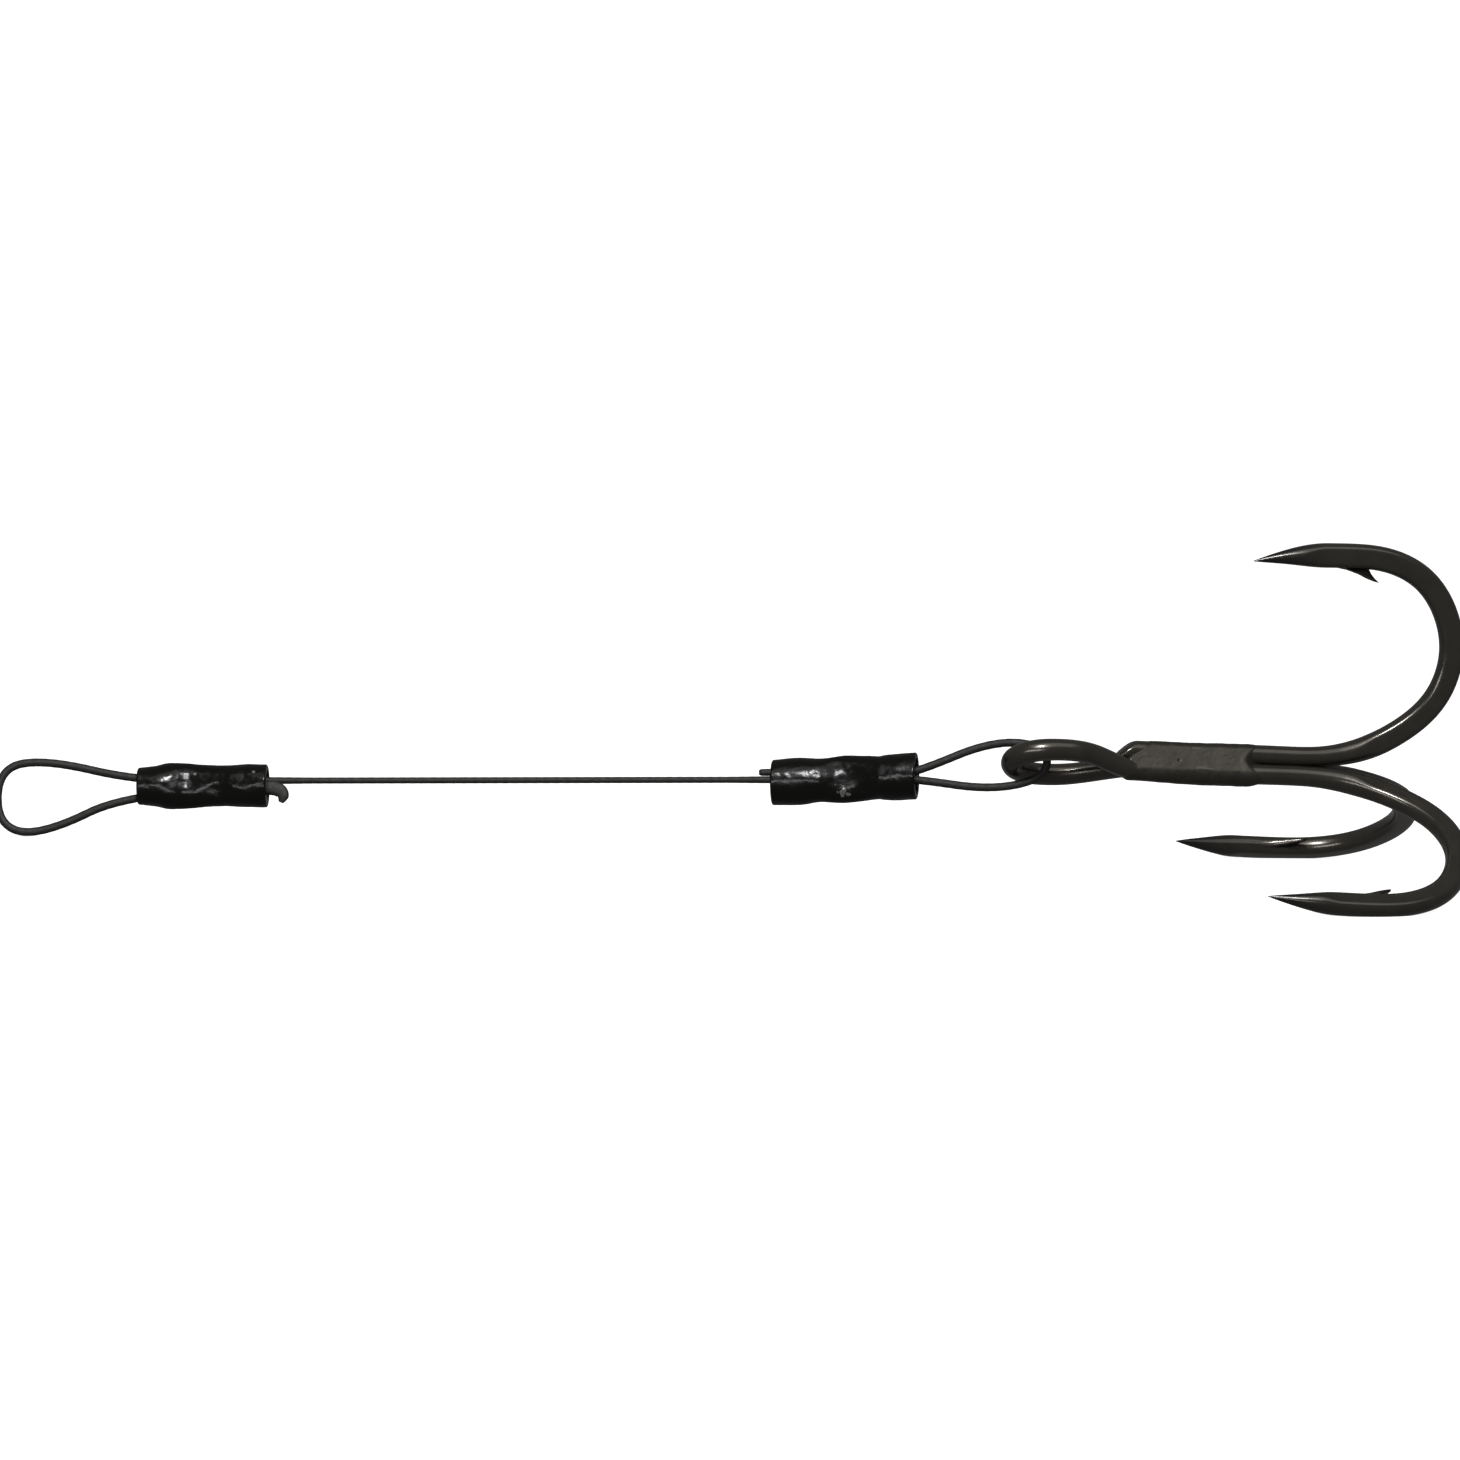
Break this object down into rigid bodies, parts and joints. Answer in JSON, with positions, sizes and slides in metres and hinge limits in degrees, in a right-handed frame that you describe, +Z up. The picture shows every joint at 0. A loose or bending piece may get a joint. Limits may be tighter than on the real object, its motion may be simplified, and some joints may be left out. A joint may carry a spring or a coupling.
{
  "type": "treble hook",
  "caption": "Treble fishing hook on a short nylon-coated cable trace, with a crimped front loop through the eye and a crimped rear loop to clip a line to.",
  "frame": {"origin": "on the floor, under the middle of the treble hook", "axes": "+Z up, +X along the treble from its eye to its bends, the upright single hook in the XZ plane"},
  "size_m": [0.0954, 0.0402, 0.0235],
  "materials": {
    "hook_steel": "black nickel plate, glossy",
    "braze": "black nickel plate over braze, satin",
    "nylon": "dark grey nylon coat, matte",
    "strand_steel": "drawn stainless wire",
    "sleeve": "gloss black oxide, crimp marks"
  },
  "bodies": {
    "treble": {"double_hook": "hook_steel", "single_hook": "hook_steel", "braze": "braze"},
    "front_loop": {"front_loop_jacket": "nylon", "front_loop_core": "strand_steel"},
    "trace": {"trace_jacket": "nylon", "trace_core": "strand_steel", "front_sleeve": "sleeve", "rear_sleeve": "sleeve"}
  },
  "joints": [
    {"name": "eye_swing", "type": "hinge", "parent": "treble", "child": "front_loop", "pos_m": [-0.01285, 0, 0.00866], "axis": [0.0329, 0.5717, 0.8198], "range_deg": [-30, 80]},
    {"name": "loop_flex", "type": "hinge", "parent": "front_loop", "child": "trace", "pos_m": [-0.02209, 0.00339, 0.00723], "axis": [0.3705, 0.8638, -0.3414], "range_deg": [-20, 20], "stiffness_Nm_per_rad": 0.0066}
  ]
}
